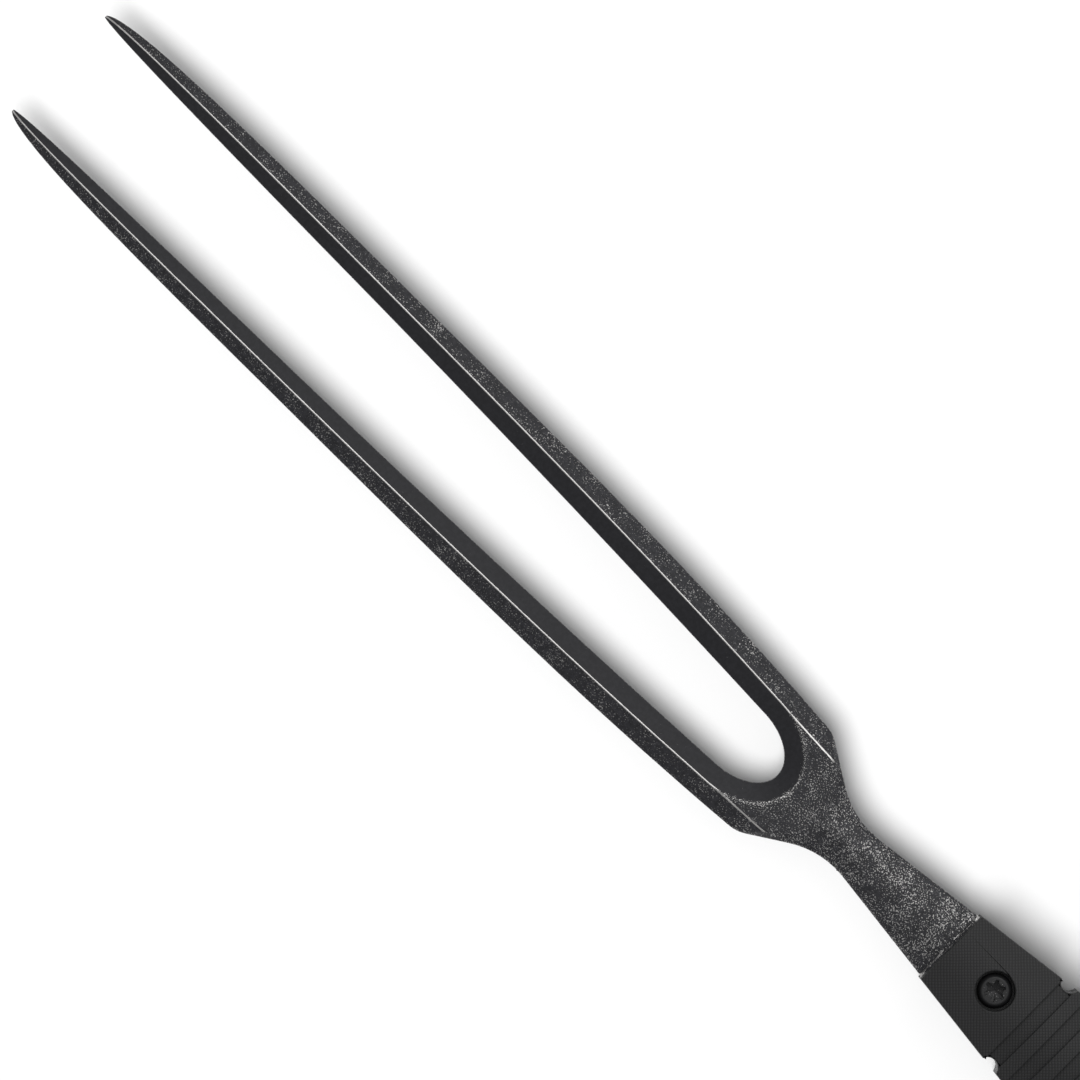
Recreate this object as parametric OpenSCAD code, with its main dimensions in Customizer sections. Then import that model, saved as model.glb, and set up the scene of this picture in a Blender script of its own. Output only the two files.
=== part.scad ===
// Carving fork: a two-tined plate steel blank with a full tang, under two screwed handle slabs.
// X runs along the fork towards the points, Y across it and Z through its thickness.
// The origin is under the middle of the fork, on the surface that it lies on.

/* [Fork head] */
// Length of the bare steel, from the handle to the points
head_len = 232; // [216:1:260]
// Length of the slot between the tines
slot_len = 187; // [150:1:200]
// Length of the slot's rounded end
slot_end_len = 10.4; // [6:0.1:16]

/* [Tine edges] */
// Width across both tines at the bottom of the slot
root_w = 25.8; // [25:0.1:28]
// Guide width that bows the outer edges out, a third of the way to the points
bow_w = 36; // [33:0.1:39]
// Guide width that draws the outer edges in, two thirds of the way
draw_w = 27.4; // [26:0.1:36]
// Guide width that the outer edges aim at, at the points
reach_w = 34.2; // [29:0.1:38]
// Guide width of the slot at its bottom
slot_root_w = 12; // [8:0.1:13]
// Guide width of the slot halfway to the points
slot_mid_w = 21.3; // [17:0.1:23]
// Guide width of the slot at the points
slot_tip_w = 20.9; // [18:0.1:23]
// Distance between the two points
tip_gap = 24.2; // [23.5:0.1:28]
// Length over which a tine narrows to its point
tip_len = 64; // [20:1:100]
// How much of a point is worn away
tip_wear = 0.15; // [0.05:0.05:1]

/* [Steel plate] */
// Thickness of the plate
plate_t = 4.8; // [3.6:0.1:6.4]
// Thickness left at a tine's edges
edge_t = 1.8; // [0.6:0.1:2.6]
// Width of the bevels along the tines and round the slot
bevel_w = 3.7; // [3.4:0.05:4.4]

/* [Shoulder and neck] */
// How far the shoulder's corner lies behind the slot
shoulder_back = 1.9; // [1:0.1:3]
// Radius of the shoulder's corner
shoulder_r = 7; // [2:0.5:10]
// How far the flat's corner lies behind the shoulder's corner
flat_back = 3.7; // [2:0.1:4.4]
// Radius of the flat's corner
flat_r = 1; // [0.5:0.1:3]
// How far behind the slot the shoulder's slope and the neck's edge would meet
waist_back = 15.6; // [14:0.1:18]
// Width at which they would meet
waist_w = 8.1; // [7:0.1:12]
// Radius that rounds the waist
waist_r = 17.5; // [6:0.1:20]
// How far ahead of the waist the shoulder's bevel runs out
bevel_runout = 2.9; // [1:0.1:4]
// Radius that rounds the bevel where it runs out
runout_r = 7.4; // [2:0.1:10]
// Width of the neck at the handle
neck_w = 15.4; // [13:0.1:16]
// Width of the narrow bevel along the neck's edges
neck_bevel_w = 0.55; // [0.3:0.05:1]
// How much lower the neck's edges are than the plate's face
neck_edge_drop = 0.95; // [0.7:0.05:1.2]
// How much lower the neck's sides are than its middle
neck_crown = 0.5; // [0.1:0.05:0.6]
// Length of the bare, uncrowned steel just ahead of the handle
collar_len = 0.45; // [0.2:0.05:2]

/* [Handle outline] */
// Length of the handle
handle_len = 122; // [119:1:140]
// Width at the front
front_w = 16.2; // [15.6:0.1:18]
// How far back the grip is widest
swell_back = 38; // [34:1:46]
// Width there
swell_w = 25.4; // [20:0.1:30]
// How far ahead of the butt's end the grip is drawn in
grip_inset = 42; // [32:1:50]
// Width there
grip_w = 22.4; // [18:0.1:26]
// How far the butt's corners lie from the end
butt_corner = 10; // [8:0.5:14]
// Width across the butt
butt_w = 26.8; // [22:0.1:30]
// Width of the butt's flat end
end_w = 17; // [12:0.1:20]

/* [Handle slabs] */
// Thickness of a slab along its middle
slab_t = 5.6; // [5:0.1:8]
// Width of the flat strip along the middle
strip_w = 4.4; // [3:0.1:8]
// How steeply the slab's face falls to its edges, in degrees
face_slope = 7; // [3:0.5:10]

/* [Grooves] */
// Width of a cross groove
groove_w = 2.9; // [1.5:0.1:4]
// Depth of a cross groove
groove_depth = 1; // [0.4:0.1:1.6]
// Distance from one groove to the next
groove_pitch = 5.75; // [5:0.05:6.5]
// How many grooves each group has
groove_count = 4; // [1:1:4]
// How far back the first groove of the front group is
front_groove_back = 20.3; // [18:0.1:22]
// How far ahead of the butt's end the last groove of the rear group is
rear_groove_inset = 29.8; // [28:0.1:34]
// Radius of the notches at the grooves' ends
notch_r = 1.9; // [1.2:0.1:2.2]
// How far outside the handle's edge the notches are centred
notch_out = 0.45; // [0.2:0.05:1]

/* [Screws and sleeves] */
// How far back the front screws are
front_screw_back = 11.3; // [9:0.1:13]
// How far ahead of the butt's end the rear screws are
rear_screw_inset = 21; // [19:0.1:22]
// Diameter of a screw's head
head_d = 6.65; // [6:0.05:7.2]
// Height of a screw's head
head_h = 1.9; // [1.4:0.1:2.2]
// Diameter of the flat on top of a screw's head
head_top_d = 4.7; // [4.4:0.1:5.4]
// Diameter of a screw's shank
shank_d = 3.5; // [3:0.1:4]
// Length of a screw's shank
shank_len = 4.5; // [3:0.1:4.7]
// Width of the star socket from point to point
socket_d = 4.1; // [3.4:0.1:4.3]
// Width of the star socket between its ribs
socket_rib_d = 2.9; // [2.4:0.1:3.2]
// Depth of the star socket
socket_depth = 1.3; // [0.8:0.1:1.6]
// Outer diameter of a threaded sleeve
sleeve_d = 5; // [4.6:0.1:5.6]
// Depth of the counterbores, from the middle strip
seat_depth = 2.9; // [2.4:0.1:3.6]
// Clearance round a screw's head
head_clear = 0.43; // [0.1:0.01:0.6]
// Clearance round sleeves, shanks and the tube
fit_clear = 0.05; // [0.02:0.01:0.1]
// Gap between a sleeve's end and the screw's head
sleeve_gap = 0.1; // [0.05:0.05:0.3]

/* [Hanging hole] */
// How far the hole's centre lies from the butt's end
hole_inset = 9; // [7:0.5:11]
// Outer diameter of the tube that lines the hole
tube_d = 7; // [6:0.1:8]
// Inner diameter of the tube
tube_bore_d = 5; // [4.2:0.1:5.8]
// How far the tube's ends lie below the middle strip
tube_sunk = 0.2; // [0.15:0.05:0.6]

/* [Hidden] */

// Steps along a tine, round a quarter of the slot's end, behind the split, down the shoulder and round a corner
tine_steps = 32;
slot_steps = 16;
split_steps = 4;
slope_steps = 4;
arc_steps = 8;
// How far the head's solid reaches into the tang, and how far the tang starts behind the slabs' fronts
embed = 2;
tang_setback = 0.05;
// Lowest difference in level between two faces that lie close together
level_gap = 0.03;
// Length over which the neck's crown grows, and the share of its half-width that stays level
crown_run = 5;
level_share = 0.2;
// Rounding of the handle's outline
swell_r = 60;
grip_r = 60;
butt_r = 14;
end_r = 7;
// A length past any face, for cuts that go right through
past = 30;

plate_half = plate_t / 2;
mid_z = plate_half + slab_t;
origin_u = (head_len - handle_len) / 2;
slot_u = head_len - slot_len;
slot_centre_u = slot_u + slot_end_len;
shoulder_u = slot_u - shoulder_back;
waist_u = slot_u - waist_back;
seat_z = plate_half + slab_t - seat_depth;
grip_back = handle_len - grip_inset;
rear_groove_back = handle_len - rear_groove_inset;
rear_screw_back = handle_len - rear_screw_inset;
middle_screw_back = (front_screw_back + rear_screw_back) / 2;
tube_back = handle_len - hole_inset;
tan_slope = tan(face_slope);

steel = [0.20, 0.20, 0.23];
laminate = [0.13, 0.13, 0.14];
black_oxide = [0.10, 0.10, 0.11];
bare_steel = [0.55, 0.56, 0.58];

// Points that round the corner b, on the way from a to c, to radius r
function arc_points(a, b, c, r) =
    let (to_a = (a - b) / norm(a - b),
         to_c = (c - b) / norm(c - b),
         half = acos(to_a * to_c) / 2,
         centre = b + (to_a + to_c) / norm(to_a + to_c) * r / sin(half),
         first = b + to_a * r / tan(half) - centre,
         turn = (180 - 2 * half) * sign(cross(-to_a, to_c)))
    [for (i = [0:arc_steps])
        let (t = turn * i / arc_steps)
        centre + [first.x * cos(t) - first.y * sin(t), first.x * sin(t) + first.y * cos(t)]];

// A closed outline through corners [x, y, radius]
function rounded(corners) =
    let (n = len(corners), at = [for (p = corners) [p.x, p.y]])
    [for (i = [0:n - 1])
        each corners[i][2] == 0 ? [at[i]] : arc_points(at[(i + n - 1) % n], at[i], at[(i + 1) % n], corners[i][2])];

// Both sides of an outline given along one side, from front to back
function both_sides(side) =
    concat(side, [for (i = [len(side) - 1:-1:0]) [side[i].x, -side[i].y, side[i][2]]]);

// Half-widths of a tine's edges and of its point, at distance u ahead of the handle
function along(u) = (u - slot_u) / slot_len;
function sharpness(u) =
    let (left = min(1, (head_len - u + tip_wear) / tip_len))
    sqrt(1 - pow(1 - left, 2));
function outer_guide(f) =
    (pow(1 - f, 3) * root_w + 3 * f * pow(1 - f, 2) * bow_w
     + 3 * f * f * (1 - f) * draw_w + pow(f, 3) * reach_w) / 2;
function inner_guide(f) =
    (pow(1 - f, 2) * slot_root_w + 2 * f * (1 - f) * slot_mid_w + f * f * slot_tip_w) / 2;
function outer_y(u) = tip_gap / 2 + (outer_guide(along(u)) - tip_gap / 2) * sharpness(u);
function inner_y(u) = tip_gap / 2 - (tip_gap / 2 - inner_guide(along(u))) * sharpness(u);

// Slot edge from the point of a tine to the slot's bottom, each entry an edge point and its outward normal
slot_half_w = inner_y(slot_centre_u);
slot_edge = concat(
    [for (i = [0:tine_steps - 1])
        let (s = pow(i / tine_steps, 2), u = head_len - s * (head_len - slot_centre_u))
        [[u, inner_y(u)], [0, 1]]],
    [for (i = [0:slot_steps])
        let (a = 90 * (1 - i / slot_steps), n = [-cos(a) / slot_end_len, sin(a) / slot_half_w])
        [[slot_centre_u - slot_end_len * cos(a), slot_half_w * sin(a)], n / norm(n)]]);

// Room for a bevel at each slot edge point, before it meets the bevel from the outer edge
function room(e) = (outer_y(e[0].x) - e[0].y) / (1 + e[1].y);
split = max([for (i = [0:len(slot_edge) - 1]) if (room(slot_edge[i]) <= bevel_w) i]);
full_bevel_w = room(slot_edge[split]);

// The points between two points, without either
function between(a, b) = [for (i = [1:slope_steps - 1]) a + (b - a) * i / slope_steps];

// Top corner lines of the head, as points [u, y, z] above the plate's middle plane
function edge_half(u) = edge_t / 2 * sharpness(u);
function on_level(points, z) = [for (p = points) [p.x, p.y, z]];
function ridge_point(e) =
    let (d = room(e), p = e[0] + d * e[1], low = edge_half(p.x))
    [p.x, p.y, low + (plate_half - low) * min(1, d / full_bevel_w)];
ridge = [for (i = [0:split]) ridge_point(slot_edge[i])];
tine_outer = [for (p = ridge) [p.x, outer_y(p.x), edge_half(p.x)]];
slot_line = [for (e = slot_edge) [e[0].x, e[0].y, edge_half(e[0].x)]];
slot_bevel_top = concat([ridge[split]],
    [for (i = [split + 1:len(slot_edge) - 1])
        let (p = slot_edge[i][0] + bevel_w * slot_edge[i][1]) [p.x, p.y, plate_half]]);

// Neck: its edge line, and the line of the narrow bevel on top of it
function neck_y(u) = waist_w / 2 + (waist_u - u) / waist_u * (neck_w - waist_w) / 2;
split_at = [ridge[split].x, ridge[split].y];
shoulder_at = [shoulder_u, outer_y(shoulder_u)];
waist_at = [waist_u, waist_w / 2];
flat_at = [shoulder_u - flat_back, root_w / 2 - bevel_w];
runout_u = waist_u + bevel_runout;
runout_at = [runout_u, neck_y(runout_u) - neck_bevel_w];
neck_edge = plate_half - neck_edge_drop;
neck_end = [-embed, neck_y(-embed)];
bevel_end = neck_end - [0, neck_bevel_w];

shoulder_arc = arc_points([slot_u, outer_y(slot_u)], shoulder_at, waist_at, shoulder_r);
waist_arc = arc_points(shoulder_at, waist_at, neck_end, waist_r);
flat_arc = arc_points(split_at, flat_at, runout_at, flat_r);
runout_arc = arc_points(flat_at, runout_at, bevel_end, runout_r);

// The neck's crown starts where its bevel line does, and ends at the collar ahead of the handle
crown_u = runout_arc[0].x;
function crown_part(u) = max(0, min(1, (crown_u - u) / crown_run));
function side_z(u) = plate_half - (neck_crown + level_gap) * crown_part(u);
function middle_z(u) = plate_half - level_gap * crown_part(u);
collar_z = plate_half - level_gap;
collar_edge = neck_edge + neck_crown;
collar_at = [collar_len + level_gap, collar_len, -embed];

outline_line = concat(
    [for (i = [0:split_steps])
        let (u = ridge[split].x + (slot_u - ridge[split].x) * i / (split_steps + 1))
        [u, outer_y(u), edge_half(u)]],
    on_level(shoulder_arc, edge_t / 2),
    between([shoulder_arc[arc_steps].x, shoulder_arc[arc_steps].y, edge_t / 2],
            [waist_arc[0].x, waist_arc[0].y, neck_edge]),
    on_level(waist_arc, neck_edge),
    [[collar_at[0], neck_y(collar_at[0]), neck_edge],
     [collar_at[1], neck_y(collar_at[1]), collar_edge],
     [collar_at[2], neck_y(collar_at[2]), collar_edge]]);
bevel_top_line = concat(
    [for (i = [0:split_steps])
        let (p = split_at + (flat_arc[0] - split_at) * i / (split_steps + 1))
        [p.x, p.y, plate_half]],
    on_level(flat_arc, plate_half),
    on_level(between(flat_arc[arc_steps], runout_arc[0]), plate_half),
    [for (p = runout_arc) [p.x, p.y, side_z(p.x)]],
    [[collar_at[0], neck_y(collar_at[0]) - neck_bevel_w, side_z(collar_at[0])],
     [collar_at[1], neck_y(collar_at[1]) - neck_bevel_w, collar_z],
     [collar_at[2], neck_y(collar_at[2]) - neck_bevel_w, collar_z]]);
// The part of the bevel line that the neck's own top surface starts from
neck_first = split_steps + 1 + arc_steps + 1 + slope_steps - 1;
neck_side = [for (i = [neck_first:len(bevel_top_line) - 1]) bevel_top_line[i]];
function neck_line(share) =
    [for (p = neck_side) [p.x, p.y * share, p.x <= collar_len ? collar_z : middle_z(p.x)]];
neck_level = neck_line(level_share);
neck_middle = neck_line(0);

// Faces between two lines of matched points
function strip(a, b) =
    [for (i = [0:len(a) - 2]) each [[a[i], a[i + 1], b[i + 1]], [a[i], b[i + 1], b[i]]]];
// Faces between two lines that have their own numbers of points, by the shorter way across at each step
function fill(a, b, i = 0, j = 0) =
    i == len(a) - 1 && j == len(b) - 1 ? [] :
    j == len(b) - 1 || (i < len(a) - 1 && norm(a[i + 1] - b[j]) < norm(a[i] - b[j + 1]))
        ? concat([[a[i], a[i + 1], b[j]]], fill(a, b, i + 1, j))
        : concat([[a[i], b[j + 1], b[j]]], fill(a, b, i, j + 1));
function floor_line(a) = on_level(a, 0);
function span(a, from, to) = [for (i = [from:to]) a[i]];
function backwards(a) = [for (i = [len(a) - 1:-1:0]) a[i]];
function mirrored(faces, sy, sz) =
    [for (f = faces) [for (p = backwards(f)) [p.x, 0 + sy * p.y, 0 + sz * p.z]]];

slot_last = len(slot_line) - 1;
tine_inner = span(slot_line, 0, split);
slot_round = span(slot_line, split, slot_last);
neck_last = len(outline_line) - 1;
flat_slot_side = span(slot_bevel_top, 1, len(slot_bevel_top) - 1);
flat_far_side = concat(span(bevel_top_line, 1, neck_first), [neck_level[0], neck_middle[0]]);

// A quarter of the head: above the middle plane, on the positive side
quarter = concat(
    strip(floor_line(tine_inner), tine_inner),
    strip(tine_inner, ridge),
    strip(ridge, tine_outer),
    strip(tine_outer, floor_line(tine_outer)),
    strip(floor_line(slot_round), slot_round),
    strip(slot_round, slot_bevel_top),
    strip(bevel_top_line, outline_line),
    strip(outline_line, floor_line(outline_line)),
    strip(neck_middle, neck_level),
    strip(neck_level, neck_side),
    // The blunt point
    [[floor_line(tine_inner)[0], tine_inner[0], ridge[0], tine_outer[0], floor_line(tine_outer)[0]]],
    // The flat between the slot and the neck
    [[ridge[split], flat_slot_side[0], flat_far_side[0]]],
    fill(flat_slot_side, flat_far_side),
    // The end inside the tang
    [[floor_line(outline_line)[neck_last], outline_line[neck_last], bevel_top_line[neck_last],
      neck_level[len(neck_level) - 1], neck_middle[len(neck_middle) - 1], [-embed, 0, 0]]]);

module head() {
    upper = concat(quarter, mirrored(quarter, -1, 1));
    faces = concat(upper, mirrored(upper, 1, -1));
    firsts = [for (i = 0, at = 0; i < len(faces); at = at + len(faces[i]), i = i + 1) at];
    polyhedron(points = [for (f = faces) each f],
               faces = [for (i = [0:len(faces) - 1]) [for (j = [0:len(faces[i]) - 1]) firsts[i] + j]],
               convexity = 8);
}

// Handle outline, from the front to the butt
handle_side = [
    [0, front_w / 2, 0],
    [-swell_back, swell_w / 2, swell_r],
    [-grip_back, grip_w / 2, grip_r],
    [butt_corner - handle_len, butt_w / 2, butt_r],
    [-handle_len, end_w / 2, end_r]];
function handle_half_w(u) = lookup(u, backwards([for (p = handle_side) [p.x, p.y]]));
groove_backs = concat(
    [for (i = [0:groove_count - 1]) front_groove_back + i * groove_pitch],
    [for (i = [0:groove_count - 1]) rear_groove_back - i * groove_pitch]);
screw_backs = [front_screw_back, middle_screw_back, rear_screw_back];

module handle_outline() {
    polygon(rounded(both_sides(handle_side)));
}

module notches() {
    for (back = groove_backs)
        for (side = [-1, 1])
            translate([-back, side * (handle_half_w(-back) + notch_out), -past])
                cylinder(r = notch_r, h = 2 * past, $fn = 48);
}

module sleeve_holes() {
    for (back = screw_backs)
        translate([-back, 0, -past])
            cylinder(d = sleeve_d + 2 * fit_clear, h = 2 * past, $fn = 48);
    translate([-tube_back, 0, -past])
        cylinder(d = tube_d + 2 * fit_clear, h = 2 * past, $fn = 64);
}

module tang() {
    difference() {
        translate([0, 0, -plate_half])
            linear_extrude(plate_t) handle_outline();
        translate([-tang_setback, -past, -past])
            cube([past, 2 * past, 2 * past]);
        notches();
        sleeve_holes();
    }
}

// The space under a slab's face: a level strip with a slope on each side, lowered by a depth
module under_face(depth) {
    top = plate_half + slab_t - depth;
    drop = (past - strip_w / 2) * tan_slope;
    translate([past, 0, 0])
        rotate([90, 0, -90])
            linear_extrude(handle_len + 2 * past)
                polygon([[-past, -past], [past, -past], [past, top - drop], [strip_w / 2, top],
                         [-strip_w / 2, top], [-past, top - drop]]);
}

module groove_cut(back) {
    difference() {
        translate([-back - groove_w / 2, -past, plate_half])
            cube([groove_w, 2 * past, past]);
        under_face(groove_depth);
    }
}

module slab() {
    difference() {
        intersection() {
            translate([0, 0, plate_half])
                linear_extrude(slab_t) handle_outline();
            under_face(0);
        }
        for (back = groove_backs)
            groove_cut(back);
        for (back = screw_backs)
            translate([-back, 0, seat_z])
                cylinder(d = head_d + 2 * head_clear, h = past, $fn = 64);
        notches();
        sleeve_holes();
    }
}

// A screw that points down, with its head's underside on the middle plane
module screw() {
    difference() {
        union() {
            rotate_extrude($fn = 64)
                polygon(concat([[0, 0], [head_d / 2, 0]],
                    [for (i = [1:arc_steps])
                        let (a = 90 * i / arc_steps)
                        [head_top_d / 2 + (head_d - head_top_d) / 2 * cos(a), head_h * sin(a)]],
                    [[0, head_h]]));
            translate([0, 0, -shank_len])
                cylinder(d = shank_d, h = shank_len, $fn = 48);
        }
        translate([0, 0, head_h - socket_depth])
            linear_extrude(past) star();
    }
}

module star() {
    rib_r = (socket_d - socket_rib_d) * 0.75;
    difference() {
        circle(d = socket_d, $fn = 48);
        for (i = [0:5])
            rotate(60 * i + 30)
                translate([socket_rib_d / 2 + rib_r, 0])
                    circle(r = rib_r, $fn = 32);
    }
}

module tube(outer_d, inner_d, half_len) {
    difference() {
        translate([0, 0, -half_len])
            cylinder(d = outer_d, h = 2 * half_len, $fn = 64);
        translate([0, 0, -past])
            cylinder(d = inner_d, h = 2 * past, $fn = 64);
    }
}

// Puts a piece modelled ahead of and behind the handle's front into the fork's frame
module placed(back = 0) {
    translate([-origin_u - back, 0, mid_z]) children();
}

module upper_screw(back) {
    color(black_oxide)
        placed(back) translate([0, 0, seat_z]) screw();
}

module lower_screw(back) {
    color(black_oxide)
        placed(back) rotate([180, 0, 0]) translate([0, 0, seat_z]) screw();
}

module sleeve(back) {
    color(bare_steel)
        placed(back) tube(sleeve_d, shank_d + 2 * fit_clear, seat_z - sleeve_gap);
}

module fork_blank() {
    color(steel)
        placed() union() {
            head();
            tang();
        }
}

module scale_upper() {
    color(laminate)
        placed() slab();
}

module scale_lower() {
    color(laminate)
        placed() rotate([180, 0, 0]) slab();
}

module sleeve_front() {
    sleeve(front_screw_back);
}

module sleeve_middle() {
    sleeve(middle_screw_back);
}

module sleeve_rear() {
    sleeve(rear_screw_back);
}

module screw_front_upper() {
    upper_screw(front_screw_back);
}

module screw_front_lower() {
    lower_screw(front_screw_back);
}

module screw_middle_upper() {
    upper_screw(middle_screw_back);
}

module screw_middle_lower() {
    lower_screw(middle_screw_back);
}

module screw_rear_upper() {
    upper_screw(rear_screw_back);
}

module screw_rear_lower() {
    lower_screw(rear_screw_back);
}

module lanyard_tube() {
    color(black_oxide)
        placed(tube_back) tube(tube_d, tube_bore_d, plate_half + slab_t - tube_sunk);
}

fork_blank();
scale_upper();
scale_lower();
sleeve_front();
sleeve_middle();
sleeve_rear();
screw_front_upper();
screw_front_lower();
screw_middle_upper();
screw_middle_lower();
screw_rear_upper();
screw_rear_lower();
lanyard_tube();
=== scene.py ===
"""Carving fork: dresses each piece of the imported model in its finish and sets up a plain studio."""

import math

import bmesh
import bpy
import numpy as np
from bpy.props import FloatProperty, FloatVectorProperty, IntProperty, PointerProperty
from mathutils import Matrix, Vector


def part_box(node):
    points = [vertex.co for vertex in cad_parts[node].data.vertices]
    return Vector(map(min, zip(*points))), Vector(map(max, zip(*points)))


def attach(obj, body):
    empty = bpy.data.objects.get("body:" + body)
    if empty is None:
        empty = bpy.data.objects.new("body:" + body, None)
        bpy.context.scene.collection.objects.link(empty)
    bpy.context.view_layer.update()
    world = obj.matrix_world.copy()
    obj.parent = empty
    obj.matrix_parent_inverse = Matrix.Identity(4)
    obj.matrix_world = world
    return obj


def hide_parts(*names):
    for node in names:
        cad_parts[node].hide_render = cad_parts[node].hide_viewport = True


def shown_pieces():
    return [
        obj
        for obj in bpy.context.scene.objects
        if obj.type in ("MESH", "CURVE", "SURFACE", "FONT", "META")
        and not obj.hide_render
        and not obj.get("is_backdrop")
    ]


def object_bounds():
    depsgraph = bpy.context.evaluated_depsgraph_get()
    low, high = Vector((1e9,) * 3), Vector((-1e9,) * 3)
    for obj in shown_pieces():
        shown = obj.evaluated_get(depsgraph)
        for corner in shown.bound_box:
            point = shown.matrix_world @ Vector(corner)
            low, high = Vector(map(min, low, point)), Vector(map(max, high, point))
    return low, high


bl_info = {
    "name": "Carving fork",
    "version": (1, 0, 0),
    "blender": (4, 5, 0),
    "location": "View3D > Sidebar > Fork",
    "description": "Dresses a packed carving fork in its finishes and sets up its studio",
    "category": "Object",
}

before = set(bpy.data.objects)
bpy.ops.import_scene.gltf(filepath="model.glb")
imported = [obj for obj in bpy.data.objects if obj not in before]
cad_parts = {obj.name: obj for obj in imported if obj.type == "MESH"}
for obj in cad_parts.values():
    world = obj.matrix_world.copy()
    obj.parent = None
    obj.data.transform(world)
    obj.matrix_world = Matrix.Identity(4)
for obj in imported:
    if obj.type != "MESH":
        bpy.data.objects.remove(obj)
cad_low, cad_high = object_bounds()

BODY = "root"
MM = 0.001
MERGE = 1e-7
SCREWS = ["screw_front_upper", "screw_front_lower", "screw_middle_upper",
          "screw_middle_lower", "screw_rear_upper", "screw_rear_lower"]
SLEEVES = ["sleeve_front", "sleeve_middle", "sleeve_rear"]

blank_low, blank_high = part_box("fork_blank")
slab_low, slab_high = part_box("scale_upper")
MID_Z = (blank_low.z + blank_high.z) / 2
PLATE_TOP = slab_low.z
HANDLE_FRONT = slab_high.x
STRIP_HALF_W = 2.2 * MM
SLAB_SLOPE = math.tan(math.radians(7))
RIDGE_ANGLE = math.radians(9)


class ForkSteelSettings(bpy.types.PropertyGroup):
    """Sizes and colours of the steel blank"""

    ridge_round: FloatProperty(
        name="Ridge rounding", description="How far a worn ridge is rounded off to each side",
        default=0.09 * MM, precision=5, unit="LENGTH", subtype="DISTANCE")
    rim_round: FloatProperty(
        name="Rim rounding", description="How far the corners of the plate's edges are rounded off",
        default=0.14 * MM, precision=5, unit="LENGTH", subtype="DISTANCE")
    line_half_w: FloatProperty(
        name="Bright line", description="Half the width of the bare line along a ridge",
        default=0.16 * MM, precision=5, unit="LENGTH", subtype="DISTANCE")
    flat_cuts: IntProperty(
        name="Flat cuts", description="How often the faces of the flat and the neck are cut",
        default=7, min=1, max=12)
    oxide: FloatVectorProperty(
        name="Black oxide", description="Colour of the blackened steel",
        default=(0.018, 0.018, 0.021), subtype="COLOR", min=0, max=1)
    bare: FloatVectorProperty(
        name="Bare steel", description="Colour of the specks and lines that are worn bare",
        default=(0.56, 0.55, 0.54), subtype="COLOR", min=0, max=1)


class ForkHandleSettings(bpy.types.PropertyGroup):
    """Sizes and colours of the handle slabs"""

    crown_half_w: FloatProperty(
        name="Crown", description="Half the width over which the face rounds into its slopes",
        default=4.2 * MM, precision=5, unit="LENGTH", subtype="DISTANCE")
    crown_step: FloatProperty(
        name="Crown step", description="Distance between the cuts that shape the crown",
        default=0.6 * MM, precision=5, unit="LENGTH", subtype="DISTANCE")
    edge_round: FloatProperty(
        name="Edge rounding", description="How far the upper edges are rounded off",
        default=0.28 * MM, precision=5, unit="LENGTH", subtype="DISTANCE")
    thread_pitch: FloatProperty(
        name="Thread pitch", description="Distance between two threads of the cloth",
        default=0.55 * MM, precision=5, unit="LENGTH", subtype="DISTANCE")
    ply: FloatProperty(
        name="Ply", description="Thickness of a layer of cloth, as it shows on the sides",
        default=0.3 * MM, precision=5, unit="LENGTH", subtype="DISTANCE")
    resin: FloatVectorProperty(
        name="Resin", description="Colour of the resin between the threads",
        default=(0.012, 0.012, 0.0125), subtype="COLOR", min=0, max=1)
    cloth: FloatVectorProperty(
        name="Cloth", description="Colour of the threads",
        default=(0.038, 0.038, 0.039), subtype="COLOR", min=0, max=1)


class ForkHardwareSettings(bpy.types.PropertyGroup):
    """Sizes and colours of the screws, the sleeves and the tube"""

    socket_round: FloatProperty(
        name="Socket rounding", description="How far the socket's rim is rounded off",
        default=0.07 * MM, precision=5, unit="LENGTH", subtype="DISTANCE")
    socket_point: FloatProperty(
        name="Socket point", description="Depth of the cone at the bottom of the socket",
        default=0.4 * MM, precision=5, unit="LENGTH", subtype="DISTANCE")
    screw_pitch: FloatProperty(
        name="Thread pitch", description="Pitch of the screws' threads",
        default=0.8 * MM, precision=5, unit="LENGTH", subtype="DISTANCE")
    screw_thread: FloatProperty(
        name="Thread depth", description="Depth of the screws' threads",
        default=0.32 * MM, precision=5, unit="LENGTH", subtype="DISTANCE")
    tube_round: FloatProperty(
        name="Tube rounding", description="How far the tube's rims are rounded off",
        default=0.3 * MM, precision=5, unit="LENGTH", subtype="DISTANCE")
    oxide: FloatVectorProperty(
        name="Black oxide", description="Colour of the screws and the tube",
        default=(0.014, 0.014, 0.015), subtype="COLOR", min=0, max=1)
    turned: FloatVectorProperty(
        name="Turned steel", description="Colour of the sleeves",
        default=(0.5, 0.5, 0.52), subtype="COLOR", min=0, max=1)


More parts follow.
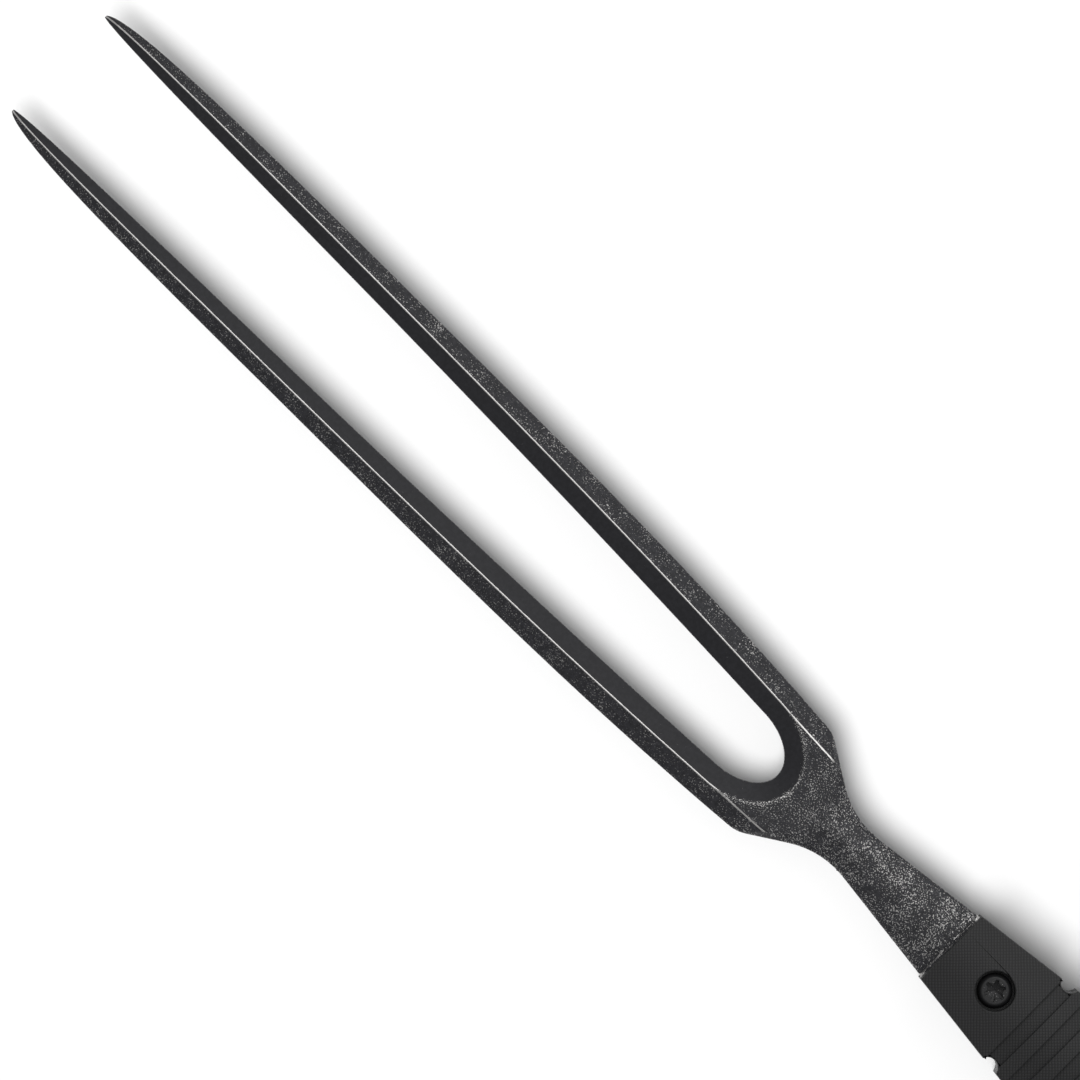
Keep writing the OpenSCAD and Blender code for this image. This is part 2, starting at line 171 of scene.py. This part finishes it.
class ForkStageSettings(bpy.types.PropertyGroup):
    """The studio: floor, lamps, world and camera"""

    view_w: FloatProperty(
        name="View width", description="Width that the camera's frame covers at the plate",
        default=0.19974, precision=5, unit="LENGTH", subtype="DISTANCE")
    view_x: FloatProperty(
        name="View place", description="How far ahead of the origin the camera looks at the fork",
        default=0.0518, precision=5, unit="LENGTH", subtype="DISTANCE")
    view_turn: FloatProperty(
        name="View turn", description="How far the camera is turned about its line of sight",
        default=math.radians(-135.25), unit="ROTATION", subtype="ANGLE")
    lens: FloatProperty(
        name="Lens", description="Focal length of the camera in millimetres",
        default=400, min=50)
    floor_w: FloatProperty(
        name="Floor", description="Width of the floor",
        default=30, unit="LENGTH", subtype="DISTANCE")
    floor_colour: FloatVectorProperty(
        name="Floor colour", description="Colour of the floor",
        default=(0.8, 0.8, 0.8), subtype="COLOR", min=0, max=1)
    floor_sun: FloatProperty(
        name="Floor sun", description="Strength of the light on the floor that makes the shadow",
        default=3.1, min=0)
    sun_lean: FloatProperty(
        name="Sun lean", description="How far the floor's light leans from straight above",
        default=math.radians(17), unit="ROTATION", subtype="ANGLE")
    sun_angle: FloatProperty(
        name="Sun softness", description="Apparent width of the floor's light",
        default=math.radians(35), unit="ROTATION", subtype="ANGLE")
    box_w: FloatProperty(
        name="Softbox", description="Width of the softbox",
        default=0.8, unit="LENGTH", subtype="DISTANCE")
    box_away: FloatProperty(
        name="Softbox distance", description="Distance of the softbox from the fork",
        default=1.0, unit="LENGTH", subtype="DISTANCE")
    box_lean: FloatProperty(
        name="Softbox lean", description="How far the softbox leans from straight above",
        default=math.radians(24), unit="ROTATION", subtype="ANGLE")
    box_power: FloatProperty(
        name="Softbox power", description="Power of the softbox in watts",
        default=4.0, min=0)
    sky: FloatProperty(
        name="Sky", description="Brightness of the studio above the fork",
        default=0.45, min=0)


class Value:
    """A number inside a material, which Python's own signs join to others through Math nodes."""

    def __init__(self, graph, socket):
        self.graph = graph
        self.socket = socket

    def __add__(self, other):
        return self.graph.math("ADD", self, other)

    def __radd__(self, other):
        return self.graph.math("ADD", other, self)

    def __sub__(self, other):
        return self.graph.math("SUBTRACT", self, other)

    def __rsub__(self, other):
        return self.graph.math("SUBTRACT", other, self)

    def __mul__(self, other):
        return self.graph.math("MULTIPLY", self, other)

    def __rmul__(self, other):
        return self.graph.math("MULTIPLY", other, self)

    def __truediv__(self, other):
        return self.graph.math("DIVIDE", self, other)

    def __abs__(self):
        return self.graph.math("ABSOLUTE", self)

    def sine(self):
        return self.graph.math("SINE", self)

    def clipped(self):
        return self.graph.math("MINIMUM", self.graph.math("MAXIMUM", self, 0.0), 1.0)

    def over(self, start, end):
        """Runs smoothly from 0 at start to 1 at end, or the other way where end is the lower."""
        low, high = min(start, end), max(start, end)
        rise = (0.0, 1.0) if end > start else (1.0, 0.0)
        node = self.graph.node("ShaderNodeMapRange", {"interpolation_type": "SMOOTHSTEP"}, {
            "Value": self, "From Min": low, "From Max": high, "To Min": rise[0], "To Max": rise[1]})
        return Value(self.graph, node.outputs["Result"])


class Graph:
    """The nodes of one material."""

    def __init__(self, name):
        self.material = bpy.data.materials.new(name)
        self.material.use_nodes = True
        self.tree = self.material.node_tree
        self.tree.nodes.clear()
        self.place = self.node("ShaderNodeTexCoord").outputs["Object"]

    def node(self, kind, settings=None, inputs=None):
        """Adds a node of that kind: its settings first, then the values or links of its sockets."""
        made = self.tree.nodes.new(kind)
        for name, value in (settings or {}).items():
            setattr(made, name, value)
        for key, value in (inputs or {}).items():
            if isinstance(value, Value):
                value = value.socket
            if isinstance(value, bpy.types.NodeSocket):
                self.tree.links.new(value, made.inputs[key])
            else:
                made.inputs[key].default_value = value
        return made

    def math(self, operation, *terms):
        made = self.node("ShaderNodeMath", {"operation": operation}, dict(enumerate(terms)))
        return Value(self, made.outputs[0])

    def noise(self, size, detail=2.0, roughness=0.5, distortion=0.0):
        """Soft noise about 0.5, with features of that size in metres."""
        made = self.node("ShaderNodeTexNoise", None, {
            "Vector": self.place, "Scale": 1 / size, "Detail": detail,
            "Roughness": roughness, "Distortion": distortion})
        return Value(self, made.outputs["Fac"])

    def attribute(self, name):
        made = self.node("ShaderNodeAttribute", {"attribute_name": name})
        return Value(self, made.outputs["Fac"])

    def axes(self, vector):
        """The three numbers of a vector."""
        made = self.node("ShaderNodeSeparateXYZ", None, {"Vector": vector})
        return [Value(self, output) for output in made.outputs]

    def colour(self, share, first, second):
        """Goes from the first colour to the second as share goes from 0 to 1."""
        made = self.node("ShaderNodeMix", {"data_type": "RGBA"}, {"Factor": share})
        for socket, value in ((made.inputs[6], first), (made.inputs[7], second)):
            if isinstance(value, bpy.types.NodeSocket):
                self.tree.links.new(value, socket)
            else:
                socket.default_value = (*value, 1.0)
        return made.outputs[2]

    def bumped(self, height, strength=1.0):
        """The normal of a surface with that height in metres."""
        made = self.node("ShaderNodeBump", None, {"Height": height, "Distance": 1.0, "Strength": strength})
        return made.outputs["Normal"]

    def finish(self, **inputs):
        """Ends in one principled surface."""
        named = {name.replace("_", " "): value for name, value in inputs.items()}
        shader = self.node("ShaderNodeBsdfPrincipled", None, named)
        self.node("ShaderNodeOutputMaterial", None, {"Surface": shader.outputs[0]})
        return self.material


def blackened_steel(settings):
    """Black oxide, tumbled: pebbled, with bare specks, and bright lines along the worn ridges."""
    graph = Graph("blackened_steel")
    along = graph.axes(graph.place)[0]
    ridge, soft, rim, cut = [graph.attribute(name) for name in ("ridge_gap", "soft_gap", "rim_gap", "cut")]
    waver = graph.noise(0.5 * MM, 2) - 0.5
    patches = graph.noise(3.5 * MM, 3)
    grains = graph.noise(0.26 * MM, 2, 0.6)
    pebbles = graph.noise(0.75 * MM, 2.5, 0.55)

    to_neck = along.over(HANDLE_FRONT + 52 * MM, HANDLE_FRONT + 30 * MM)
    ground = cut * (1.0 - (soft / MM).over(0.9, 0.2) * 0.6)
    inside_handle = along.over(HANDLE_FRONT - 0.2 * MM, HANDLE_FRONT - 0.6 * MM)
    density = 0.09 + to_neck * 0.045 + (patches - 0.5) * 0.24 + (soft / MM).over(1.0, 0.1) * 0.08
    density = density - ground * 0.16 - inside_handle
    specks = (grains + density).over(0.70, 0.78)

    edge = (ridge + waver * (0.16 * MM)) / settings.line_half_w
    line = edge.over(1.15, 0.75) * graph.noise(1.6 * MM, 2).over(0.16, 0.3)
    soft_edge = ((soft + waver * (0.9 * MM)) / MM).over(0.22, 0.02) * (grains.over(0.45, 0.58))
    rim_line = ((rim + waver * (0.2 * MM)) / MM).over(0.14, 0.06) * grains.over(0.46, 0.56) * 0.4
    bare = (specks * 0.8 + line + soft_edge * 0.6 + rim_line).clipped()

    lighter = [min(1, channel * 1.9) for channel in settings.oxide]
    oxide = graph.colour(pebbles.over(0.3, 0.75) * (1.0 - 0.55 * cut), settings.oxide, lighter)
    height = pebbles * (0.05 * MM) * (1.0 - 0.75 * cut) + grains * (0.010 * MM) + specks * (0.004 * MM)
    return graph.finish(
        Base_Color=graph.colour(bare, oxide, settings.bare),
        Metallic=bare,
        Roughness=0.46 - bare * 0.12,
        Normal=graph.bumped(height),
        Specular_IOR_Level=0.3)


def black_laminate(settings):
    """Layers of cloth pressed in resin: a weave on the faces, and plies along the sides."""
    graph = Graph("black_laminate")
    x, y, z = graph.axes(graph.place)
    turn = 2 * math.pi / (math.sqrt(2) * settings.thread_pitch)
    wander = (graph.noise(2.5 * MM, 1) - 0.5) * 1.6
    warp = ((x + y) * (turn / 2) + wander).sine()
    weft = ((x - y) * (turn / 2) + wander).sine()
    crossing = abs(warp * weft)
    threads = crossing * 0.65 + abs(warp) * 0.35
    fibres = graph.noise(0.12 * MM, 2)
    plies = (z * (2 * math.pi / settings.ply) + (graph.noise(4 * MM, 2) - 0.5) * 3.0).sine()
    facing = graph.axes(graph.node("ShaderNodeTexCoord").outputs["Normal"])[2]
    level = abs(facing).over(0.5, 0.85)
    shade = (threads * 0.8 + fibres * 0.5 - 0.15) * level + (plies * 0.25 + 0.5) * (1.0 - level)
    height = threads * (0.034 * MM) * level + fibres * (0.006 * MM) + plies * (0.006 * MM) * (1.0 - level)
    return graph.finish(
        Base_Color=graph.colour(shade.clipped(), settings.resin, settings.cloth),
        Roughness=0.40 + fibres * 0.12,
        Normal=graph.bumped(height),
        Specular_IOR_Level=0.25)


def black_fastener(settings):
    """Black oxide on screws and tube: satin, with bare glints where a key has worn it."""
    graph = Graph("black_fastener")
    worn = graph.attribute("worn")
    grains = graph.noise(0.16 * MM, 2, 0.6)
    film = graph.noise(0.9 * MM, 2)
    glints = (grains + worn * 0.03).over(0.70, 0.75) * (worn * 0.95 + 0.05)
    return graph.finish(
        Base_Color=graph.colour(glints, settings.oxide, (0.6, 0.6, 0.6)),
        Metallic=glints,
        Roughness=0.34 + film * 0.16 - glints * 0.1,
        Normal=graph.bumped(film * (0.01 * MM) + grains * (0.006 * MM)),
        Specular_IOR_Level=0.35)


def turned_steel(settings):
    """Bright steel with the fine rings of the lathe along its length."""
    graph = Graph("turned_steel")
    z = graph.axes(graph.place)[2]
    rings = (z * (2 * math.pi / (0.12 * MM)) + (graph.noise(0.3 * MM) - 0.5)).sine()
    film = graph.noise(1.2 * MM, 3)
    darker = [channel * 0.8 for channel in settings.turned]
    return graph.finish(
        Base_Color=graph.colour(film.over(0.3, 0.7), darker, settings.turned),
        Metallic=1.0,
        Roughness=0.24 + film * 0.14,
        Normal=graph.bumped(rings * (0.003 * MM)))


def floor_material(settings):
    """A matt pale floor."""
    graph = Graph("studio_floor")
    return graph.finish(Base_Color=(*settings.floor_colour, 1.0), Roughness=0.9, Specular_IOR_Level=0.0)


def only(obj):
    """Leaves obj as the one selected and active object."""
    bpy.ops.object.select_all(action="DESELECT")
    obj.select_set(True)
    bpy.context.view_layer.objects.active = obj


def mode(name):
    bpy.ops.object.mode_set(mode=name)


def pick(obj, kind, test):
    """Selects, in edit mode, only the vertices, edges or faces of obj that pass the test."""
    bpy.ops.mesh.select_mode(type=kind)
    bpy.ops.mesh.select_all(action="DESELECT")
    shape = bmesh.from_edit_mesh(obj.data)
    for item in {"VERT": shape.verts, "EDGE": shape.edges, "FACE": shape.faces}[kind]:
        if test(item):
            item.select_set(True)
    bmesh.update_edit_mesh(obj.data)


def copy_of(node, name):
    """A piece of its own with a merged copy of a CAD node's mesh."""
    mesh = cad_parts[node].data.copy()
    mesh.name = name
    mesh.materials.clear()
    piece = bpy.data.objects.new(name, mesh)
    bpy.context.scene.collection.objects.link(piece)
    only(piece)
    mode("EDIT")
    bpy.ops.mesh.select_all(action="SELECT")
    bpy.ops.mesh.remove_doubles(threshold=MERGE)
    bpy.ops.mesh.customdata_custom_splitnormals_clear()
    mode("OBJECT")
    return piece


def smooth(piece, angle):
    """Smooth shading up to that angle between faces, led by the larger faces."""
    only(piece)
    bpy.ops.object.shade_smooth_by_angle(angle=math.radians(angle))
    bpy.ops.object.modifier_add(type="WEIGHTED_NORMAL")
    piece.modifiers[-1].keep_sharp = True
    bpy.ops.object.modifier_apply(modifier=piece.modifiers[-1].name)


def settle(piece, material, slot, *nodes):
    """Gives a finished piece its material and its body, and hides the CAD nodes that it stands for. The slot
    argument is not used.
    """
    piece.data.materials.clear()
    piece.data.materials.append(material)
    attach(piece, BODY)
    if nodes:
        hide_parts(*nodes)


def corner(edge):
    """The angle between an edge's two faces, above 0 where the edge stands out."""
    return edge.calc_face_angle_signed(0.0) if len(edge.link_faces) == 2 else 0.0


def ends(edge):
    return [vertex.co.copy() for vertex in edge.verts]


def store(piece, name, values, domain="POINT"):
    """Keeps one number for each vertex or face of a piece as an attribute."""
    attribute = piece.data.attributes.new(name, "FLOAT", domain)
    attribute.data.foreach_set("value", np.asarray(values, np.float32))


def gaps(piece, lines, reach):
    """The distance from each vertex of a piece to the nearest of the lines, up to reach."""
    points = np.empty(len(piece.data.vertices) * 3)
    piece.data.vertices.foreach_get("co", points)
    points = points.reshape(-1, 3)
    nearest = np.full(len(points), reach)
    for start, end in lines:
        start, run = np.array(start), np.array(end) - np.array(start)
        share = np.clip((points - start) @ run / max(run @ run, 1e-18), 0, 1)
        away = np.linalg.norm(points - start - share[:, None] * run, axis=1)
        nearest = np.minimum(nearest, away)
    return nearest


def fork_lines(piece):
    """The corner lines of the blank's head, as worn ridges, soft borders and rims. In edit mode."""
    ridges, borders, rims = [], [], []
    fade_x = HANDLE_FRONT + 34 * MM
    collar_x = HANDLE_FRONT + 0.7 * MM
    for edge in bmesh.from_edit_mesh(piece.data).edges:
        first, second = ends(edge)
        at = (first + second) / 2
        if at.x < HANDLE_FRONT + 0.05 * MM or corner(edge) < RIDGE_ANGLE:
            continue
        tilts = sorted(abs(face.normal.z) for face in edge.link_faces)
        if at.x < collar_x:
            ridges.append((first, second))
        elif tilts[0] < 0.3:
            if abs(first.z - second.z) < 0.3 * MM and tilts[1] > 0.5:
                rims.append((first, second))
        elif tilts[1] > 0.9995 and any(inner_cut(face) for face in edge.link_faces):
            borders.append((first, second))
        elif at.x > fade_x and abs(first.x - second.x) > 0.9 * (first - second).length:
            ridges.append((first, second))
    return ridges, borders, rims


def inner_cut(face):
    """Whether a face is one of the bevels or walls round the slot between the tines."""
    at, normal = face.calc_center_median(), face.normal
    ahead = at.x > HANDLE_FRONT + 34 * MM
    sideways = normal.y * (1 if at.y > 0 else -1)
    return ahead and abs(normal.z) < 0.995 and (sideways < -0.05 or normal.x > 0.2)


class FORK_OT_blank(bpy.types.Operator):
    """Dresses the steel blank: rounded ridges and rims, and a tumbled black finish"""

    bl_idname = "fork.blank"
    bl_label = "Steel blank"

    def execute(self, context):
        settings = context.scene.fork_steel
        piece = copy_of("fork_blank", "steel_blank")
        head_x = HANDLE_FRONT + 0.05 * MM
        blunt_x = blank_high.x - 2.5 * MM
        mode("EDIT")
        bpy.ops.mesh.select_all(action="SELECT")
        bpy.ops.mesh.tris_convert_to_quads(face_threshold=math.radians(2), shape_threshold=math.pi)
        ridges, borders, rims = fork_lines(piece)
        pick(piece, "FACE", lambda face: abs(face.normal.z) > 0.985 and face.calc_center_median().x > head_x)
        bpy.ops.mesh.subdivide(number_cuts=settings.flat_cuts)

        def on_head(edge):
            return all(head_x < v.co.x < blunt_x for v in edge.verts)

        def is_ridge(edge):
            tilts = [abs(face.normal.z) for face in edge.link_faces]
            return on_head(edge) and corner(edge) > RIDGE_ANGLE and min(tilts) > 0.3

        def is_rim(edge):
            tilts = [abs(face.normal.z) for face in edge.link_faces]
            return on_head(edge) and corner(edge) > math.radians(30) and min(tilts) < 0.3 and max(tilts) > 0.5

        for test, offset in ((is_ridge, settings.ridge_round), (is_rim, settings.rim_round)):
            pick(piece, "EDGE", test)
            bpy.ops.mesh.bevel(offset=offset, segments=2, affect="EDGES", clamp_overlap=False)
        pick(piece, "FACE", inner_cut)
        mode("OBJECT")
        store(piece, "cut", [face.select for face in piece.data.polygons], "FACE")
        reach = 8 * MM
        store(piece, "ridge_gap", gaps(piece, ridges, reach))
        store(piece, "soft_gap", gaps(piece, borders, reach))
        store(piece, "rim_gap", gaps(piece, rims, reach))
        smooth(piece, 24)
        settle(piece, blackened_steel(settings), "blackened_steel", "fork_blank")
        return {"FINISHED"}


class FORK_OT_slabs(bpy.types.Operator):
    """Shapes the two handle slabs: a rounded crown, rounded edges and a woven laminate"""

    bl_idname = "fork.slabs"
    bl_label = "Handle slabs"

    def execute(self, context):
        settings = context.scene.fork_handle
        material = black_laminate(settings)
        upper = copy_of("scale_upper", "handle_slab_upper")
        self.crown(upper, settings)
        mode("EDIT")
        low_z = PLATE_TOP + 0.3 * MM

        def is_top_edge(edge):
            first, second = ends(edge)
            level = abs(first.z - second.z) < 0.7 * (first - second).length
            return level and min(first.z, second.z) > low_z and corner(edge) > math.radians(32)

        pick(upper, "EDGE", is_top_edge)
        bpy.ops.mesh.bevel(offset=settings.edge_round, segments=3, affect="EDGES", clamp_overlap=False)
        mode("OBJECT")
        smooth(upper, 28)
        lower = upper.copy()
        lower.data = upper.data.copy()
        lower.name = lower.data.name = "handle_slab_lower"
        context.scene.collection.objects.link(lower)
        flip = Matrix.Translation((0, 0, 2 * MID_Z)) @ Matrix.Rotation(math.pi, 4, "X")
        lower.data.transform(flip)
        for piece, node in ((upper, "scale_upper"), (lower, "scale_lower")):
            settle(piece, material, "black_laminate", node)
        return {"FINISHED"}

    def crown(self, piece, settings):
        """Cuts the slab lengthways and lowers the cuts near its middle onto a smooth crown."""
        only(piece)
        mode("EDIT")
        bpy.ops.mesh.select_all(action="SELECT")
        bpy.ops.mesh.dissolve_limited(angle_limit=math.radians(0.4))
        half_w = slab_high.y
        steps = int(half_w / settings.crown_step)
        for step in range(-steps, steps + 1):
            bpy.ops.mesh.select_all(action="SELECT")
            bpy.ops.mesh.bisect(plane_co=(0, step * settings.crown_step, 0), plane_no=(0, 1, 0))
        mode("OBJECT")
        reach = settings.crown_half_w
        for vertex in piece.data.vertices:
            away = abs(vertex.co.y)
            if vertex.co.z < PLATE_TOP + 3.5 * MM or away > reach:
                continue
            faceted = max(0.0, away - STRIP_HALF_W) * SLAB_SLOPE
            rounded = SLAB_SLOPE * (reach - STRIP_HALF_W) * (away / reach) ** 2
            vertex.co.z -= rounded - faceted


class FORK_OT_screws(bpy.types.Operator):
    """Makes one button screw with a star socket and a cut thread, and copies it to each place"""

    bl_idname = "fork.screws"
    bl_label = "Button screws"

    def execute(self, context):
        settings = context.scene.fork_hardware
        material = black_fastener(settings)
        first = SCREWS[0]
        low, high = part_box(first)
        screw = copy_of(first, first.replace("screw", "button_screw"))
        middle = Vector(((low.x + high.x) / 2, 0, 0))
        self.shape_socket(screw, middle, high.z, settings)
        self.cut_thread(screw, middle, low.z, settings)
        for node in SCREWS:
            piece = screw
            if node != first:
                piece = screw.copy()
                piece.data = screw.data.copy()
                piece.name = piece.data.name = node.replace("screw", "button_screw")
                context.scene.collection.objects.link(piece)
                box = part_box(node)
                move = Matrix.Translation(((box[0].x + box[1].x) / 2 - middle.x, 0, 0))
                if node.endswith("lower"):
                    move = move @ Matrix.Translation((0, 0, 2 * MID_Z)) @ Matrix.Rotation(math.pi, 4, "X")
                piece.data.transform(move)
            settle(piece, material, "black_fastener", node)
        return {"FINISHED"}

    def shape_socket(self, screw, middle, top_z, settings):
        """Rounds the socket's rim, and gives its bottom a shallow cone."""
        socket_r = 2.2 * MM

        def inside(at):
            return math.hypot(at.x - middle.x, at.y) < socket_r

        mode("EDIT")
        bpy.ops.mesh.select_all(action="SELECT")
        bpy.ops.mesh.dissolve_limited(angle_limit=math.radians(0.5))
        pick(screw, "FACE", lambda face: face.normal.z > 0.99 and inside(face.calc_center_median())
             and face.calc_center_median().z < top_z - 0.5 * MM)
        bpy.ops.mesh.poke(offset=-settings.socket_point)
        pick(screw, "EDGE", lambda edge: corner(edge) > math.radians(50)
             and all(v.co.z > top_z - 0.01 * MM and inside(v.co) for v in edge.verts))
        bpy.ops.mesh.bevel(offset=settings.socket_round, segments=2, affect="EDGES", clamp_overlap=False)
        pick(screw, "VERT", lambda v: inside(v.co) and v.co.z > top_z - 2.5 * MM)
        mode("OBJECT")
        store(screw, "worn", [vertex.select for vertex in screw.data.vertices])
        smooth(screw, 30)

    def cut_thread(self, screw, middle, low_z, settings):
        """Draws the shank in to the thread's root, and winds a ridge round it."""
        shank_r = 1.75 * MM
        head_z = low_z + 4.5 * MM
        root_r = shank_r - settings.screw_thread
        turns = int((head_z - low_z) / settings.screw_pitch) - 1
        only(screw)
        mode("EDIT")
        pick(screw, "VERT", lambda v: v.co.z < head_z + 0.01 * MM
             and math.hypot(v.co.x - middle.x, v.co.y) < shank_r + 0.05 * MM)
        share = root_r / shank_r
        bpy.ops.transform.resize(value=(share, share, 1), center_override=middle)
        mode("OBJECT")
        bpy.ops.mesh.primitive_circle_add(
            vertices=3, radius=settings.screw_thread * 1.25, fill_type="NOTHING", enter_editmode=True,
            rotation=(math.pi / 2, math.pi / 2, 0), location=(0, 0, 0))
        thread = bpy.context.active_object
        mode("OBJECT")
        bpy.ops.object.transform_apply(location=True, rotation=True, scale=True)
        tip = max(v.co.x for v in thread.data.vertices)
        for vertex in thread.data.vertices:
            vertex.co.x += shank_r - tip
        bpy.ops.object.modifier_add(type="SCREW")
        winding = thread.modifiers[-1]
        winding.screw_offset = settings.screw_pitch
        winding.iterations = turns
        winding.steps = winding.render_steps = 32
        bpy.ops.object.modifier_apply(modifier=winding.name)
        start_z = low_z + settings.screw_pitch / 2
        thread.data.transform(Matrix.Translation((middle.x, 0, start_z)))
        mode("EDIT")
        halfway = start_z + turns * settings.screw_pitch / 2
        for below in (True, False):
            pick(thread, "EDGE", lambda e: e.is_boundary and (e.verts[0].co.z < halfway) == below)
            bpy.ops.mesh.edge_face_add()
        bpy.ops.mesh.select_all(action="SELECT")
        bpy.ops.mesh.normals_make_consistent(inside=False)
        mode("OBJECT")
        store(thread, "worn", [0] * len(thread.data.vertices))
        only(screw)
        thread.select_set(True)
        bpy.ops.object.join()


class FORK_OT_sleeves(bpy.types.Operator):
    """Gives the threaded sleeves their turned steel"""

    bl_idname = "fork.sleeves"
    bl_label = "Sleeves"

    def execute(self, context):
        material = turned_steel(context.scene.fork_hardware)
        for node in SLEEVES:
            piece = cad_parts[node]
            piece.data.materials.clear()
            piece.data.materials.append(material)
        return {"FINISHED"}


class FORK_OT_tube(bpy.types.Operator):
    """Rounds the rims of the tube that lines the hanging hole"""

    bl_idname = "fork.tube"
    bl_label = "Hanging tube"

    def execute(self, context):
        settings = context.scene.fork_hardware
        tube = copy_of("lanyard_tube", "hanging_tube")
        mode("EDIT")
        bpy.ops.mesh.select_all(action="SELECT")
        bpy.ops.mesh.dissolve_limited(angle_limit=math.radians(0.5))
        pick(tube, "EDGE", lambda edge: corner(edge) > math.radians(60))
        bpy.ops.mesh.bevel(offset=settings.tube_round, segments=4, affect="EDGES", clamp_overlap=False)
        mode("OBJECT")
        store(tube, "worn", [0.6] * len(tube.data.vertices))
        smooth(tube, 30)
        settle(tube, black_fastener(settings), "black_fastener", "lanyard_tube")
        return {"FINISHED"}


class FORK_OT_stage(bpy.types.Operator):
    """Sets up the floor, the lamps, the world and the camera"""

    bl_idname = "fork.stage"
    bl_label = "Studio"

    def execute(self, context):
        settings = context.scene.fork_stage
        context.scene.view_settings.view_transform = "Standard"
        floor = self.lay_floor(settings)
        self.hang_lamps(settings, floor)
        self.paint_world(context.scene, settings)
        self.set_camera(context.scene, settings)
        return {"FINISHED"}

    def lay_floor(self, settings):
        bpy.ops.mesh.primitive_plane_add(size=settings.floor_w, location=(0, 0, cad_low.z - 0.01 * MM))
        floor = bpy.context.active_object
        floor.name = "studio_floor"
        floor.data.materials.append(floor_material(settings))
        floor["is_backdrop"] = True
        return floor

    def hang_lamps(self, settings, floor):
        """A softbox over the far side lights the fork, and a sun from the near side only the floor."""
        turn = settings.view_turn
        over = Matrix.Rotation(turn, 4, "Z")
        far = (over @ Vector((1, 1, 0))).normalized()
        fork_only = bpy.data.collections.new("softbox_lights")
        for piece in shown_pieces():
            fork_only.objects.link(piece)
        floor_only = bpy.data.collections.new("sun_lights")
        floor_only.objects.link(floor)

        softbox = bpy.data.lights.new("softbox", "AREA")
        softbox.shape = "SQUARE"
        softbox.size = settings.box_w
        softbox.energy = settings.box_power
        sun = bpy.data.lights.new("floor_sun", "SUN")
        sun.energy = settings.floor_sun
        sun.angle = settings.sun_angle
        look_at = Vector((settings.view_x, 0, MID_Z))
        for data, lean, side, receivers in ((softbox, settings.box_lean, far, fork_only),
                                            (sun, settings.sun_lean, -far, floor_only)):
            lamp = bpy.data.objects.new(data.name, data)
            bpy.context.scene.collection.objects.link(lamp)
            toward = (side * math.sin(lean) + Vector((0, 0, math.cos(lean)))).normalized()
            lamp.location = look_at + toward * settings.box_away
            lamp.rotation_euler = toward.to_track_quat("Z", "Y").to_euler()
            lamp.visible_camera = False
            lamp.light_linking.receiver_collection = receivers

    def paint_world(self, scene, settings):
        """Pale round the horizon, and dimmer above."""
        world = bpy.data.worlds.new("studio")
        scene.world = world
        world.use_nodes = True
        tree = world.node_tree
        tree.nodes.clear()
        place = tree.nodes.new("ShaderNodeTexCoord")
        split = tree.nodes.new("ShaderNodeSeparateXYZ")
        fade = tree.nodes.new("ShaderNodeMapRange")
        glow = tree.nodes.new("ShaderNodeBackground")
        out = tree.nodes.new("ShaderNodeOutputWorld")
        fade.inputs["From Min"].default_value = 0.12
        fade.inputs["From Max"].default_value = 0.4
        fade.inputs["To Min"].default_value = 1.0
        fade.inputs["To Max"].default_value = settings.sky
        tree.links.new(place.outputs["Generated"], split.inputs[0])
        tree.links.new(split.outputs["Z"], fade.inputs["Value"])
        tree.links.new(fade.outputs["Result"], glow.inputs["Strength"])
        tree.links.new(glow.outputs[0], out.inputs["Surface"])

    def set_camera(self, scene, settings):
        """Straight above the fork, turned as in the photograph, with a long lens."""
        data = bpy.data.cameras.new("camera")
        data.lens = settings.lens
        data.sensor_width = 36
        away = settings.view_w / 2 / (data.sensor_width / 2 / data.lens)
        data.clip_end = 100
        camera = bpy.data.objects.new("camera", data)
        scene.collection.objects.link(camera)
        camera.location = (settings.view_x, 0, MID_Z + away)
        camera.rotation_euler = (0, 0, settings.view_turn)
        scene.camera = camera


class FORK_PT_panel(bpy.types.Panel):
    """Lists the pieces of the fork and their settings"""

    bl_idname = "FORK_PT_panel"
    bl_label = "Carving fork"
    bl_space_type = "VIEW_3D"
    bl_region_type = "UI"
    bl_category = "Fork"

    def draw(self, context):
        for operator, settings in PARTS:
            box = self.layout.box()
            box.operator(operator.bl_idname)
            group = getattr(context.scene, settings)
            for name in group.bl_rna.properties.keys():
                if name not in ("rna_type", "name"):
                    box.prop(group, name)


PARTS = [
    (FORK_OT_blank, "fork_steel"),
    (FORK_OT_slabs, "fork_handle"),
    (FORK_OT_screws, "fork_hardware"),
    (FORK_OT_sleeves, "fork_hardware"),
    (FORK_OT_tube, "fork_hardware"),
    (FORK_OT_stage, "fork_stage"),
]
GROUPS = {
    "fork_steel": ForkSteelSettings,
    "fork_handle": ForkHandleSettings,
    "fork_hardware": ForkHardwareSettings,
    "fork_stage": ForkStageSettings,
}


def register():
    for name, group in GROUPS.items():
        bpy.utils.register_class(group)
        setattr(bpy.types.Scene, name, PointerProperty(type=group))
    for operator, _ in PARTS:
        bpy.utils.register_class(operator)
    bpy.utils.register_class(FORK_PT_panel)


def unregister():
    bpy.utils.unregister_class(FORK_PT_panel)
    for operator, _ in PARTS:
        bpy.utils.unregister_class(operator)
    for name, group in GROUPS.items():
        delattr(bpy.types.Scene, name)
        bpy.utils.unregister_class(group)


def main():
    register()
    for step in (bpy.ops.fork.blank, bpy.ops.fork.slabs, bpy.ops.fork.screws,
                 bpy.ops.fork.sleeves, bpy.ops.fork.tube, bpy.ops.fork.stage):
        step()


if __name__ == "__main__":
    main()
